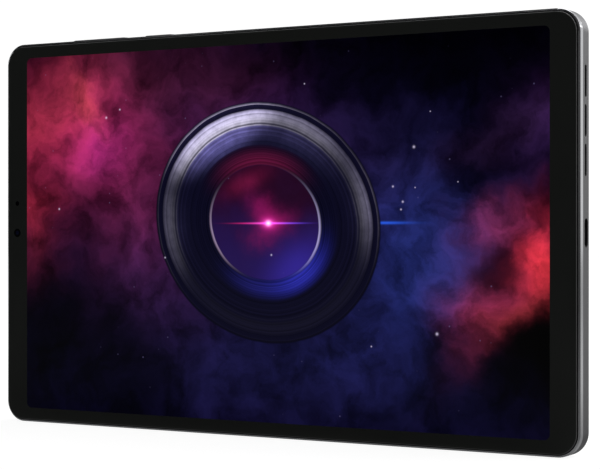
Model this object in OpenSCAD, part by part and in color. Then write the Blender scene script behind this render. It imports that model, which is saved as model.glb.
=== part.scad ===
// A compact landscape tablet computer, 8.8 inch class, standing on its lower long edge.
// Everything is drawn as the tablet lies on its back: x runs along its length, y across it from the
// lower long edge, and z out through the screen from mid thickness. stand() then tips it up, so the
// finished part has +Z up and its screen facing -Y, with the origin on the middle of the lower edge.

/* [Body] */
// Length of the body, left to right
body_l = 207.5; // [205:0.1:212]
// Height of the body, lower edge to upper edge
body_h = 128.2; // [127.6:0.1:132]
// Radius of the four corners in the screen's plane
corner_r = 7; // [6:0.5:9]
// Thickness of the side walls
wall_t = 2.6; // [2.5:0.05:2.8]

/* [Screen] */
// Length of the lit area
screen_l = 189.5; // [186:0.5:190]
// Height of the lit area
screen_h = 118.5; // [116:0.5:119]
// Distance of the glass edge from the outside of the body
glass_inset = 0.9; // [0.9:0.05:1.2]

/* [Keys] */
// Middle of the volume key, from the middle of the upper edge
volume_x = -67.3; // [-69:0.1:-66]
// Length of the volume key
volume_l = 22.1; // [20:0.1:23]
// Middle of the power key, from the middle of the upper edge
power_x = -43.4; // [-44:0.1:-42]
// Length of the power key
power_l = 11.1; // [9:0.1:12]
// How far the keys stand out of the upper edge
key_proud = 0.65; // [0.3:0.05:0.8]

/* [Sound] */
// Length of one sound slot
slot_l = 9.3; // [6:0.1:10]
// Width of one sound slot
slot_w = 1.4; // [1:0.1:1.8]
// Distance from one sound slot to the next
slot_pitch = 11.3; // [10.5:0.1:12]

/* [Camera] */
// Middle of the rear camera, from the middle of the body
camera_x = -91.3; // [-91.6:0.1:-91]
// Height of the rear camera above the lower edge
camera_y = 114.6; // [114.2:0.1:115]
// How far the camera island stands out of the back
island_proud = 1.2; // [0.8:0.1:1.6]

/* [Hidden] */

$fn = 48;
mid_y = body_h / 2;
half_l = body_l / 2;
eps = 0.5;                    // how far a cutting tool runs past the face it cuts

// Levels through the thickness, from the back to the front
back_z = -3.95;
cover_in_z = -3.15;           // inside of the rear cover
cover_seat_z = -3.05;         // ledge that the rear cover is glued to
plate_back_z = 0.85;
plate_front_z = 1.35;
tray_z = 1.5;
tray_floor_t = 0.15;
tray_rim_z = 2.45;
cell_z = 2.5;
ink_z = 3.2;
glass_back_z = 3.25;
lip_z = 3.5;
glass_z = 3.95;
ledge_z = 3.1;                // ledge that the glass is glued to

// The body's outer edge, as distances inwards from its widest outline
lip_in = 0.55;
lip_out = 0.05;
lip_drop = 0.55;              // the lip falls this far from its inner to its outer edge
bevel_z = 1.15;               // the polished bevel runs from here to the lip
back_round = 0.7;
cover_in = 1.65;              // seam between the rear cover and the body

// Circuit boards and what stands on them
board_z = -0.15;
board_t = 0.7;
board_front_z = board_z + board_t;
plug_h = 0.45;
flex_t = 0.15;
screw_r = 0.6;
screw_head_r = 1.1;
screw_head_h = 0.5;
screw_end_z = 1.2;
boss_r = 1.5;
boss_bore_r = 0.65;

// Side keys
wall_in_y = body_h - wall_t;
key_z = -1;
key_t = 2.2;
key_gap = 0.15;
key_flange = 1.2;
flange_t = 0.55;
dome_y = 124;
dome_h = 0.35;
nub_y = 124.4;
volume_arm = 7.5;             // from the volume key's middle to each of its domes

// Card tray, in the left edge
tray_y = 89.6;
tray_c_z = -1;
tray_w = 12;
tray_t = 1.2;
tray_end_x = -85.5;
head_y = 88;
head_l = 15.6;
head_w = 2.4;
head_t = 1.3;
pin_y = 81.7;
pin_r = 0.6;
rod_r = 0.45;
rod_end_x = -83.25;
lever_x = -82.6;
lever_y = 87.5;
lever_l = 12.6;
lever_w = 1;
lever_t = 0.6;

// Port and speakers
usb_z = -1.3;
usb_w = 8.94;
usb_h = 3.16;
usb_wall = 0.3;
usb_l = 6.95;
usb_lip_t = 0.8;              // the wall laps over the shell's mouth by this much
usb_mouth_x = half_l - usb_lip_t - 0.05;
slot_z = -0.9;
slot_first_y = 20.75;         // first slot's middle, from the middle of the edge
box_x = 93;
box_y = 32.4;
box_l = 16;
box_h = 35;
box_back_z = -2.9;
box_t = 0.8;
driver_x = 92.7;
driver_y = 96;
driver_l = 11;
driver_h = 20;
driver_front_z = -0.1;
haptic_x = 77;
haptic_y = 24;
haptic_l = 10;
haptic_h = 23;
haptic_wall = 0.25;

// Cameras
island_l = 26;
island_h = 13;
island_x = camera_x + island_l / 2 - island_h / 2 + 0.2;
flash_x = island_x + island_l / 2 - island_h / 2;
lens_r = 3.1;
front_camera_x = -98.95;

// Power
cell_l = 62.5;
cell_h = 100;
cell_t = 3.1;
cell_x = [-26.75, 37.25];

mainboard_screw_at = [[-79.2, 10.5], [-65.2, 46], [-79.2, 47], [-65.2, 81], [-98, 103.5], [-81.8, 118.6]];
usb_board_screw_at = [[94.8, 26], [86.5, 72.5]];
speaker_screw_at = [[83.2, 83], [83.2, 110]];
bracket_screw_at = [[-56.2, 120.6], [-33.4, 120.6]];
// The left speaker is the right one turned half a turn about the middle of the body.
left_speaker_screw_at = [for (p = speaker_screw_at) [-p[0], body_h - p[1]]];
screw_at = concat(mainboard_screw_at, usb_board_screw_at, speaker_screw_at, left_speaker_screw_at,
                  bracket_screw_at);

// ---- shared shapes ----

module stand() { rotate([90, 0, 0]) children(); }

// A flat layer between two levels, from an outline in the screen's plane
module layer(z0, z1) { translate([0, 0, z0]) linear_extrude(z1 - z0) children(); }

// A block given by two opposite corners
module block(a, b) { translate(a) cube(b - a); }

function arc(cx, cy, r, a0, a1, n = 8) =
    [for (i = [0:n]) [cx + r * cos(a0 + (a1 - a0) * i / n), cy + r * sin(a0 + (a1 - a0) * i / n)]];

// A rectangle with round corners, centred on the body
module rounded(l, h, r, n = 16) {
    x = l / 2 - r;
    y = h / 2 - r;
    translate([0, mid_y])
        polygon(concat(arc(x, y, r, 0, 90, n), arc(-x, y, r, 90, 180, n),
                       arc(-x, -y, r, 180, 270, n), arc(x, -y, r, 270, 360, n)));
}

// The body's outline, moved inwards all round
module outline(inset) {
    rounded(body_l - 2 * inset, body_h - 2 * inset, corner_r - inset);
}

// A strip with round ends, its length along x
module strip(l, w) {
    square([l - w, w], center = true);
    for (side = [-1, 1])
        translate([side * (l - w) / 2, 0]) circle(d = w);
}

// A solid of the body's outline whose edge follows a section of [inset, z] points, from back to front
module edged_slab(section) {
    last = len(section) - 1;
    flat_l = body_l - 2 * corner_r;
    flat_h = body_h - 2 * corner_r;
    corner = concat([[0, section[0][1]]], [for (p = section) [corner_r - p[0], p[1]]],
                    [[0, section[last][1]]]);
    across = concat([for (p = section) [mid_y - p[0], p[1]]],
                    [for (i = [last:-1:0]) [section[i][0] - mid_y, section[i][1]]]);
    translate([-flat_l / 2, mid_y, 0]) rotate([90, 0, 90]) linear_extrude(flat_l) polygon(across);
    for (turn = [0, 180])
        translate([0, mid_y, 0]) rotate([0, 0, turn]) {
            translate([flat_l / 2, flat_h / 2, 0]) rotate([90, 0, 0])
                linear_extrude(flat_h) polygon(corner);
            translate([flat_l / 2, flat_h / 2, 0]) rotate_extrude(angle = 90) polygon(corner);
            translate([-flat_l / 2, flat_h / 2, 0]) rotate([0, 0, 90])
                rotate_extrude(angle = 90) polygon(corner);
        }
}

// A ring between two of the body's outlines
module ring(z0, z1, outer, inner) {
    layer(z0, z1) difference() {
        outline(outer);
        outline(inner);
    }
}

// Draws its children as they are, and again turned half a turn about the middle of the body
module both_ends() {
    children();
    translate([0, body_h, 0]) rotate([0, 0, 180]) children();
}

// An upright strip-shaped cutter through an end wall, its length along y
module end_slot(x0, x1, y, z, l, w) {
    translate([x0, y, z]) rotate([90, 0, 90]) linear_extrude(x1 - x0) strip(l, w);
}

// A strip-shaped bar through the upper wall, its length along x
module key_bar(x, y0, y1, l, w) {
    translate([x, y1, key_z]) rotate([90, 0, 0]) linear_extrude(y1 - y0) strip(l, w);
}

// ---- screen stack ----

// Glass with its front edge rounded off
module cover_glass() {
    round_r = 0.3;
    color([0.02, 0.02, 0.025])
        edged_slab(concat([[glass_inset, glass_back_z], [glass_inset, glass_z - round_r]],
            [for (a = [30:30:90])
                [glass_inset + round_r * (1 - cos(a)), glass_z - round_r * (1 - sin(a))]]));
}

module bezel_print() {
    edge_in = glass_inset + 0.15;
    color([0.01, 0.01, 0.01]) layer(ink_z, glass_back_z) difference() {
        outline(edge_in);
        rounded(screen_l, screen_h, 1.8);
        translate([front_camera_x, mid_y]) circle(r = 1.3);
        translate([front_camera_x, mid_y + 10]) circle(r = 0.8);
    }
}

module optical_adhesive() {
    color([0.9, 0.9, 0.95]) layer(ink_z, glass_back_z) rounded(screen_l, screen_h, 1.8);
}

module lcd_cell() {
    color([0.25, 0.12, 0.35]) layer(cell_z, ink_z) rounded(screen_l + 4.1, screen_h + 2.7, 1);
}

module light_guide() {
    color([0.95, 0.95, 0.92])
        layer(tray_z + tray_floor_t, tray_rim_z - 0.05)
            translate([-96.2, mid_y - 60]) square([190.8, 120]);
}

module led_strip() {
    strip_x = 94.9;
    color([0.9, 0.85, 0.6]) {
        block([strip_x + 0.6, mid_y - 58, tray_z + tray_floor_t], [96.2, mid_y + 58, 2.3]);
        for (y = [-56:4:56])
            block([strip_x, mid_y + y - 1.2, 1.75], [strip_x + 0.6, mid_y + y + 1.2, 2.2]);
    }
}

module backlight_tray() {
    rim_t = 0.3;
    color([0.75, 0.76, 0.78]) difference() {
        layer(tray_z, tray_rim_z) rounded(screen_l + 4.1, screen_h + 2.7, 1);
        layer(tray_z + tray_floor_t, tray_rim_z + eps)
            rounded(screen_l + 4.1 - 2 * rim_t, screen_h + 2.7 - 2 * rim_t, 0.7);
    }
}

module display_foam() {
    color([0.12, 0.12, 0.12]) layer(plate_front_z, tray_z) difference() {
        rounded(188, 116, 2);
        rounded(180, 108, 2);
    }
}

// Runs off the screen's right edge, down through the middle plate and under the port board
module display_flex() {
    t = flex_t;
    x0 = screen_l / 2 + 2.05;
    x1 = 98.6;
    z1 = 2.7;
    z2 = board_z - plug_h;
    color([0.75, 0.45, 0.1])
        translate([0, 54, 0]) rotate([90, 0, 0]) linear_extrude(24)
            polygon([[x0, z1 + t], [x1, z1 + t], [x1, z2 - t], [91.5, z2 - t], [91.5, z2],
                     [x1 - t, z2], [x1 - t, z1], [x0, z1]]);
}

module glass_adhesive() {
    color([0.03, 0.03, 0.03]) ring(ledge_z, ink_z, lip_in + 0.05, wall_t - 0.1);
}

// ---- body ----

module screw_boss(at) { translate([at[0], at[1], board_front_z]) cylinder(r = boss_r, h = 0.35); }

module screw_bore(at) {
    translate([at[0], at[1], board_front_z - eps])
        cylinder(r = boss_bore_r, h = screw_end_z + 0.05 - board_front_z + eps);
}

// The side walls and the plate between screen and battery, milled as one piece
module midframe() {
    // the lip's slope runs on inwards past its edge, where the glass recess then cuts it off
    section = concat(
        [for (a = [0:15:90]) [back_round * (1 - sin(a)), back_z + back_round * (1 - cos(a))]],
        [[0, bevel_z], [lip_out, lip_z - lip_drop], [2 * lip_in - lip_out, lip_z + lip_drop]]);
    color([0.3, 0.3, 0.31]) difference() {
        union() {
            difference() {
                edged_slab(section);
                layer(back_z - eps, cover_seat_z) outline(cover_in);
                layer(cover_seat_z - eps, plate_back_z) outline(wall_t);
                layer(plate_front_z, ledge_z + eps) outline(wall_t);
                layer(ledge_z, glass_z + eps) outline(lip_in);
            }
            for (at = screw_at) screw_boss(at);
        }
        for (at = screw_at) screw_bore(at);
        // sound slots, three at each end
        both_ends() for (i = [0:2])
            end_slot(half_l - wall_t - eps, half_l + eps, mid_y + slot_first_y + i * slot_pitch,
                     slot_z, slot_l, slot_w);
        // port
        end_slot(half_l - wall_t - eps, half_l - usb_lip_t, mid_y, usb_z, usb_w + 0.1, usb_h + 0.1);
        end_slot(half_l - wall_t, half_l + eps, mid_y, usb_z, usb_w - 2 * usb_wall, usb_h - 2 * usb_wall);
        // keys
        key_bar(volume_x, wall_in_y - eps, body_h + eps, volume_l + 0.4, key_t + 2 * key_gap);
        key_bar(power_x, wall_in_y - eps, body_h + eps, power_l + 0.4, key_t + 2 * key_gap);
        // card tray: a seat for its head, a slot for its body and a bore for the eject rod
        end_slot(-half_l - eps, -half_l + head_t + 0.1, head_y, tray_c_z, head_l + 0.2, head_w + 0.2);
        block([-half_l, tray_y - tray_w / 2 - 0.2, tray_c_z - tray_t / 2 - 0.15],
              [-half_l + wall_t + eps, tray_y + tray_w / 2 + 0.2, tray_c_z + tray_t / 2 + 0.15]);
        translate([-half_l, pin_y, tray_c_z]) rotate([0, 90, 0]) cylinder(r = 0.8, h = wall_t + eps);
        // microphones, one in the upper and one in the lower edge
        translate([-22, body_h + eps, -1]) rotate([90, 0, 0]) cylinder(r = 0.4, h = wall_t + 2 * eps);
        translate([40, wall_t + eps, -1]) rotate([90, 0, 0]) cylinder(r = 0.4, h = wall_t + 2 * eps);
        // front camera and the screen's flex, through the plate
        block([-101, mid_y - 2.7, plate_back_z - eps], [-96.85, mid_y + 2.7, plate_front_z + eps]);
        block([98.2, 29, plate_back_z - eps], [98.9, 55, plate_front_z + eps]);
    }
}

module island_outline(grow) {
    translate([island_x, camera_y]) strip(island_l + 2 * grow, island_h + 2 * grow);
}

module rear_cover() {
    color([0.3, 0.3, 0.31]) layer(back_z, cover_in_z) difference() {
        outline(cover_in + 0.05);
        island_outline(0.05);
    }
}

module rear_adhesive() {
    color([0.05, 0.05, 0.05]) ring(cover_in_z, cover_seat_z, cover_in + 0.1, wall_t - 0.05);
}

module graphite_sheet() {
    color([0.15, 0.15, 0.16]) block([-60, 16, cover_in_z], [70, 112, cover_in_z + 0.1]);
}

// ---- cameras ----

module disc(x, y, z0, z1, r) { translate([x, y, z0]) cylinder(r = r, h = z1 - z0); }

// The raised island around the rear camera, with its edge cut to a bevel
module camera_island() {
    front_z = back_z - island_proud;
    bevel = 0.35;
    color([0.1, 0.1, 0.11]) difference() {
        union() {
            layer(front_z + bevel, cover_in_z) island_outline(0);
            for (side = [-1, 1])
                translate([island_x + side * (island_l - island_h) / 2, camera_y, front_z])
                    cylinder(r1 = island_h / 2 - bevel, r2 = island_h / 2, h = bevel);
            translate([island_x - (island_l - island_h) / 2, camera_y, front_z])
                rotate([90, 0, 90]) linear_extrude(island_l - island_h)
                    polygon([[bevel - island_h / 2, 0], [island_h / 2 - bevel, 0],
                             [island_h / 2, bevel], [-island_h / 2, bevel]]);
        }
        disc(camera_x, camera_y, front_z - eps, cover_in_z + eps, 3.9);
        disc(camera_x, camera_y, front_z - eps, front_z + 0.65, 5);
        disc(flash_x, camera_y, front_z - eps, cover_in_z + eps, 1.9);
        disc(flash_x, camera_y, front_z - eps, front_z + 0.55, 2.5);
    }
}

module camera_window() {
    color([0.05, 0.05, 0.08])
        disc(camera_x, camera_y, back_z - island_proud + 0.05, back_z - island_proud + 0.65, 4.95);
}

module camera_body() {
    color([0.2, 0.2, 0.2]) difference() {
        block([camera_x - 4.3, camera_y - 4.3, -3.05], [camera_x + 4.3, camera_y + 4.3, plate_back_z]);
        disc(camera_x, camera_y, -3.05 - eps, -1.8, lens_r + 0.1);
    }
}

// The focusing barrel, with its stepped front and a dished glass
module camera_lens() {
    color([0.08, 0.08, 0.1]) difference() {
        union() {
            disc(camera_x, camera_y, -3.7, -1.95, lens_r);
            disc(camera_x, camera_y, -4.2, -3.65, lens_r - 0.5);
        }
        translate([camera_x, camera_y, -4.25]) cylinder(r1 = 2.1, r2 = 1, h = 0.6);
    }
}

module flash_window() {
    color([0.95, 0.93, 0.8])
        disc(flash_x, camera_y, back_z - island_proud + 0.05, back_z - island_proud + 0.55, 2.45);
}

module flash_led() {
    color([0.95, 0.85, 0.4]) {
        block([flash_x - 1.5, camera_y - 1.5, -3.1], [flash_x + 1.5, camera_y + 1.5, board_z]);
        block([flash_x - 0.8, camera_y - 0.8, -3.4], [flash_x + 0.8, camera_y + 0.8, -3.1]);
    }
}

module front_camera() {
    color([0.08, 0.08, 0.1]) {
        block([front_camera_x - 1.95, mid_y - 2.5, -0.9], [front_camera_x + 1.95, mid_y + 2.5, 2.6]);
        disc(front_camera_x, mid_y, 2.6, 3.15, 1.6);
    }
}

module light_sensor() {
    color([0.2, 0.05, 0.2])
        block([front_camera_x - 1, mid_y + 8.8, plate_front_z], [front_camera_x + 1, mid_y + 11.2, 3]);
}

// ---- main board and cooling ----

// Clearance holes for every screw, through whatever lies at the boards' level
module screw_holes() {
    for (at = screw_at) disc(at[0], at[1], board_z - eps, board_front_z + eps, 0.8);
}

module mainboard() {
    color([0.05, 0.2, 0.15]) difference() {
        layer(board_z, board_front_z)
            polygon([[-81.3, 6], [-63, 6], [-63, 121], [-84, 121], [-84, 106], [-100.4, 106], [-100.4, 68],
                     [-96.4, 68], [-96.4, 60.2], [-100.4, 60.2], [-100.4, 52], [-81.3, 52]]);
        screw_holes();
    }
}

// Shield cans as [x0, y0, x1, y1]
cans = [[-80, 18, -68, 42], [-82, 57, -65, 77], [-81, 99, -68, 110]];
can_h = 1.6;

module mainboard_chips() {
    // chips as [middle x, middle y, length, width, height]
    chips = [[-77, 67, 8.4, 12, 1.1], [-69.4, 67, 5.6, 11, 0.9], [-74.5, 36, 7, 7, 0.9],
             [-74.5, 25, 6, 8, 0.8], [-74.5, 104.5, 9, 7, 0.9], [-91, 57, 6, 6, 0.8]];
    color([0.08, 0.08, 0.08]) for (c = chips)
        layer(board_z - c[4], board_z) translate([c[0], c[1]]) square([c[2], c[3]], center = true);
}

module shield_cans() {
    t = 0.2;
    color([0.7, 0.7, 0.72]) for (c = cans) difference() {
        block([c[0], c[1], board_z - can_h], [c[2], c[3], board_z]);
        block([c[0] + t, c[1] + t, board_z - can_h + t], [c[2] - t, c[3] - t, board_z + eps]);
    }
}

// Plug-in connectors as [middle x, middle y, length, width]
plugs = [[-66, 8.5, 4, 5], [-69, 117.4, 5, 2.4], [-65.5, 52, 3, 5], [88, 28.8, 7, 2.4], [93.2, 42, 3, 22]];

module board_connectors() {
    color([0.06, 0.06, 0.06]) for (p = plugs)
        layer(board_z - plug_h, board_z) translate([p[0], p[1]]) square([p[2], p[3]], center = true);
}

module thermal_pad() {
    color([0.5, 0.55, 0.65]) block([-80, 59, -2.45], [-67, 75, board_z - can_h]);
}

module vapour_chamber() {
    color([0.8, 0.45, 0.3]) layer(-2.85, -2.45)
        polygon(concat([[-81, 55], [-64, 55], [-56, 46]], arc(-14, 50, 4, 270, 360, 4),
                       arc(-14, 86, 4, 0, 90, 4), [[-56, 90], [-64, 79], [-81, 79]]));
}

// ---- battery ----

module battery_cells() {
    color([0.16, 0.16, 0.17]) for (x = cell_x) layer(plate_back_z - 0.1 - cell_t, plate_back_z - 0.1)
        translate([x, mid_y]) square([cell_l, cell_h], center = true);
}

module battery_board() {
    color([0.1, 0.25, 0.15]) {
        block([-61.6, 36, -0.9], [-58.1, 92, -0.1]);
        block([-66.8, 49.5, board_z - plug_h - flex_t], [-61.6, 54.5, board_z - plug_h]);
    }
}

module battery_tape() {
    color([0.9, 0.9, 0.9]) for (x = cell_x, dx = [-18, 18])
        block([x + dx - 6, mid_y - 46, plate_back_z - 0.1], [x + dx + 6, mid_y + 46, plate_back_z]);
}

// Joins the main board to the port board, below the battery
module main_flex() {
    z1 = board_z - plug_h;
    color([0.75, 0.45, 0.1]) layer(z1 - flex_t, z1)
        polygon(concat([[-68, 6], [-64, 5]], arc(88, 9, 4, 270, 360, 4),
                       [[92, 30], [84, 30], [84, 11], [-68, 11]]));
}

// ---- port board ----

module usb_board() {
    notch_x = usb_mouth_x - usb_l - 0.15;
    color([0.05, 0.2, 0.15]) difference() {
        block([84, 22, board_z], [97.6, 76, board_front_z]);
        layer(board_z - eps, board_front_z + eps)
            translate([notch_x, mid_y - usb_w / 2 - 0.15]) square([98 - notch_x, usb_w + 0.3]);
        screw_holes();
    }
}

module usb_shell() {
    x0 = usb_mouth_x - usb_l;
    ear_h = 0.3;
    color([0.6, 0.6, 0.62]) {
        difference() {
            end_slot(x0, usb_mouth_x, mid_y, usb_z, usb_w, usb_h);
            end_slot(x0 + 0.3, usb_mouth_x + eps, mid_y, usb_z, usb_w - 2 * usb_wall, usb_h - 2 * usb_wall);
        }
        for (side = [-1, 1])
            translate([x0 + 0.3, mid_y + side * (usb_w / 2 + 0.7) - 0.9, board_z - ear_h])
                cube([1.3, 1.8, ear_h]);
    }
}

module usb_tongue() {
    base_x = usb_mouth_x - usb_l + 0.3;
    color([0.06, 0.06, 0.06]) {
        end_slot(base_x, base_x + 1.7, mid_y, usb_z, usb_w - 2 * usb_wall, usb_h - 2 * usb_wall);
        block([base_x + 1.7, mid_y - 3.35, usb_z - 0.35], [usb_mouth_x - 0.9, mid_y + 3.35, usb_z + 0.35]);
    }
}

// ---- sound and touch feedback ----

module speaker_boxes() {
    x0 = box_x - box_l / 2;
    x1 = box_x + box_l / 2;
    y0 = mid_y + box_y - box_h / 2;
    y1 = mid_y + box_y + box_h / 2;
    color([0.08, 0.08, 0.09]) both_ends() difference() {
        union() {
            block([x0, y0, box_back_z], [x1, y1, 0.8]);
            for (at = speaker_screw_at)
                block([at[0] - 1.6, at[1] - 1.7, board_z], [x0 + 0.4, at[1] + 1.7, board_front_z]);
        }
        block([x0 + box_t, y0 + box_t, box_back_z + box_t], [x1 - box_t, y1 - box_t, 0.8 + eps]);
        for (i = [0:2])
            end_slot(x1 - box_t - eps, x1 + eps, mid_y + slot_first_y + i * slot_pitch, slot_z,
                     slot_l, slot_w);
        screw_holes();
    }
}

// Magnet and basket, open at the front where the diaphragm moves
module speaker_drivers() {
    color([0.5, 0.5, 0.5]) both_ends() difference() {
        layer(box_back_z + box_t, driver_front_z)
            translate([driver_x, driver_y]) square([driver_l, driver_h], center = true);
        layer(driver_front_z - 0.8, driver_front_z + eps) translate([driver_x, driver_y])
            square([driver_l - 1.4, driver_h - 1.4], center = true);
    }
}

module right_diaphragm() {
    color([0.12, 0.12, 0.13]) layer(driver_front_z - 0.45, driver_front_z - 0.3)
        translate([driver_x, driver_y]) square([driver_l - 1.6, driver_h - 1.6], center = true);
}

module left_diaphragm() {
    translate([0, body_h, 0]) rotate([0, 0, 180]) right_diaphragm();
}

module speaker_meshes() {
    color([0.02, 0.02, 0.02]) both_ends()
        block([box_x + box_l / 2, mid_y + 15.5, -1.9], [half_l - wall_t, mid_y + 48.5, 0.1]);
}

module haptic_case() {
    color([0.7, 0.7, 0.72]) difference() {
        layer(-2.3, plate_back_z)
            translate([haptic_x, haptic_y]) square([haptic_l, haptic_h], center = true);
        layer(-2.3 + haptic_wall, plate_back_z + eps) translate([haptic_x, haptic_y])
            square([haptic_l - 2 * haptic_wall, haptic_h - 2 * haptic_wall], center = true);
    }
}

module haptic_mass() {
    color([0.5, 0.5, 0.52])
        layer(-1.7, 0.5)
            translate([haptic_x, haptic_y]) square([haptic_l - 1.6, haptic_h - 3.4], center = true);
}

// ---- side keys ----

// A key: its head in the wall, a longer flange behind the wall, and the nubs that press the domes
module side_key(x, l, flange_y, nubs) {
    key_bar(x, flange_y, body_h + key_proud, l, key_t);
    block([x - l / 2 - key_flange, flange_y, key_z - key_t / 2],
          [x + l / 2 + key_flange, flange_y + flange_t, key_z + key_t / 2]);
    for (dx = nubs)
        block([x + dx - 0.7, nub_y, key_z - 0.7], [x + dx + 0.7, flange_y, key_z + 0.7]);
}

module power_key() { color([0.32, 0.32, 0.33]) side_key(power_x, power_l, 124.95, [0]); }

module volume_key() {
    color([0.32, 0.32, 0.33]) side_key(volume_x, volume_l, 124.75, [-volume_arm, volume_arm]);
}

module dome(x) {
    translate([x, dome_y, key_z]) rotate([-90, 0, 0]) cylinder(r1 = 1.3, r2 = 0.8, h = dome_h);
}

module power_dome() { color([0.8, 0.8, 0.82]) dome(power_x); }

module volume_domes() { color([0.8, 0.8, 0.82]) for (dx = [-volume_arm, volume_arm]) dome(volume_x + dx); }

module key_flex() {
    z1 = board_z - plug_h;
    color([0.75, 0.45, 0.1]) {
        block([-79.5, dome_y - flex_t, -2.2], [-36, dome_y, 0.7]);
        block([-71.5, 116.2, z1 - flex_t], [-66.5, dome_y - flex_t / 2, z1]);
    }
}

module key_bracket() {
    wall_y = dome_y - flex_t - 0.5;
    color([0.65, 0.66, 0.68]) difference() {
        union() {
            difference() {
                block([-80.5, wall_y, -2.6], [-35.5, dome_y - flex_t, 0.7]);
                block([-72, wall_y - eps, board_z - plug_h - flex_t - 0.2],
                      [-66, dome_y, board_z - plug_h + 0.2]);
            }
            for (at = bracket_screw_at)
                block([at[0] - 2, at[1] - 2, board_z], [at[0] + 2, wall_y + 0.5, board_front_z]);
            block([-36, wall_y, board_z], [-31.4, wall_y + 0.5, board_front_z]);
        }
        screw_holes();
    }
}

// ---- card tray ----

module card_tray() {
    z0 = tray_c_z - tray_t / 2;
    color([0.32, 0.32, 0.33]) difference() {
        union() {
            end_slot(-half_l, -half_l + head_t, head_y, tray_c_z, head_l, head_w);
            block([-half_l + head_t / 2, tray_y - tray_w / 2, z0],
                  [tray_end_x, tray_y + tray_w / 2, z0 + tray_t]);
        }
        block([-101, tray_y - 5, z0 - eps], [-86.7, tray_y + 5, z0 + tray_t - 0.25]);
        translate([-half_l - eps, pin_y, tray_c_z]) rotate([0, 90, 0])
            cylinder(r = pin_r, h = head_t + 2 * eps);
    }
}

module card_reader() {
    t = 0.15;
    x0 = -100.9;
    x1 = -79.8;
    y0 = 80.6;
    y1 = 96.4;
    color([0.72, 0.72, 0.74]) difference() {
        block([x0, y0, -1.9], [x1, y1, board_z]);
        block([x0 - eps, y0 + t, -1.9 + t], [x1 - t, y1 - t, board_z - t]);
        disc(lever_x, lever_y, -1.9 - eps, board_z + eps, 0.52);
    }
}

module eject_rod() {
    color([0.75, 0.75, 0.76])
        translate([-102.3, pin_y, tray_c_z]) rotate([0, 90, 0]) cylinder(r = rod_r, h = rod_end_x + 102.3);
}

module eject_lever() {
    color([0.75, 0.75, 0.76]) difference() {
        union() {
            block([lever_x - lever_w / 2, lever_y - lever_l / 2, tray_c_z - lever_t / 2],
                  [lever_x + lever_w / 2, lever_y + lever_l / 2, tray_c_z + lever_t / 2]);
            disc(lever_x, lever_y, tray_c_z - lever_t / 2, tray_c_z + lever_t / 2, 1.2);
        }
        disc(lever_x, lever_y, -3, 1, 0.55);
    }
}

module lever_pin() {
    color([0.75, 0.75, 0.76]) disc(lever_x, lever_y, -1.9, board_z, 0.5);
}

// ---- antennas and microphones ----

// Antenna blocks in the border beside the screen, as [middle x, middle y, length along y]
antennas = [[99.05, 98, 32], [-99.05, 100, 32], [-99.05, 28, 28]];

module antenna_carriers() {
    color([0.1, 0.1, 0.1]) for (a = antennas)
        block([a[0] - 1.8, a[1] - a[2] / 2, plate_front_z], [a[0] + 1.8, a[1] + a[2] / 2, 2.9]);
}

module antenna_foils() {
    color([0.85, 0.65, 0.3]) for (a = antennas) {
        block([a[0] - 1.5, a[1] - a[2] / 2 + 1, 2.9], [a[0] - 0.6, a[1] + a[2] / 2 - 1, 3]);
        block([a[0] + 0.4, a[1] - a[2] / 2 + 1, 2.9], [a[0] + 1.4, a[1] + a[2] / 2 - 6, 3]);
        block([a[0] - 0.6, a[1] - a[2] / 2 + 1, 2.9], [a[0] + 0.4, a[1] - a[2] / 2 + 2, 3]);
    }
}

// Runs along the top of the battery, with a round plug at each end
module antenna_cable() {
    z = -1.1;
    y = 116.4;
    color([0.05, 0.05, 0.05]) {
        translate([-61, y, z]) rotate([0, 90, 0]) cylinder(r = 0.45, h = 141);
        disc(-61.5, y, z - 0.5, z + 0.5, 1.2);
        disc(80.5, y, z - 0.5, z + 0.5, 1.2);
    }
}

module microphones() {
    color([0.8, 0.75, 0.5]) {
        block([-23.75, wall_in_y - 1.1, -2.3], [-20.25, wall_in_y, 0.3]);
        block([38.25, wall_t, -2.3], [41.75, wall_t + 1.1, 0.3]);
    }
}

// ---- screws ----

module board_screws() {
    color([0.55, 0.55, 0.57]) for (at = screw_at) difference() {
        union() {
            disc(at[0], at[1], board_z - screw_head_h, board_z, screw_head_r);
            disc(at[0], at[1], board_z - screw_head_h / 2, screw_end_z, screw_r);
        }
        for (turn = [0, 90])
            translate([at[0], at[1], board_z - screw_head_h]) rotate([0, 0, turn])
                cube([1.2, 0.25, 0.5], center = true);
    }
}

// ---- assembly ----

stand() cover_glass();
stand() bezel_print();
stand() optical_adhesive();
stand() lcd_cell();
stand() light_guide();
stand() led_strip();
stand() backlight_tray();
stand() display_foam();
stand() display_flex();
stand() glass_adhesive();
stand() midframe();
stand() rear_cover();
stand() rear_adhesive();
stand() graphite_sheet();
stand() camera_island();
stand() camera_window();
stand() camera_body();
stand() camera_lens();
stand() flash_window();
stand() flash_led();
stand() front_camera();
stand() light_sensor();
stand() mainboard();
stand() mainboard_chips();
stand() shield_cans();
stand() board_connectors();
stand() thermal_pad();
stand() vapour_chamber();
stand() battery_cells();
stand() battery_board();
stand() battery_tape();
stand() main_flex();
stand() usb_board();
stand() usb_shell();
stand() usb_tongue();
stand() speaker_boxes();
stand() speaker_drivers();
stand() left_diaphragm();
stand() right_diaphragm();
stand() speaker_meshes();
stand() haptic_case();
stand() haptic_mass();
stand() power_key();
stand() volume_key();
stand() power_dome();
stand() volume_domes();
stand() key_flex();
stand() key_bracket();
stand() card_tray();
stand() card_reader();
stand() eject_rod();
stand() eject_lever();
stand() lever_pin();
stand() antenna_carriers();
stand() antenna_foils();
stand() antenna_cable();
stand() microphones();
stand() board_screws();
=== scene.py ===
import math

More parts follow.
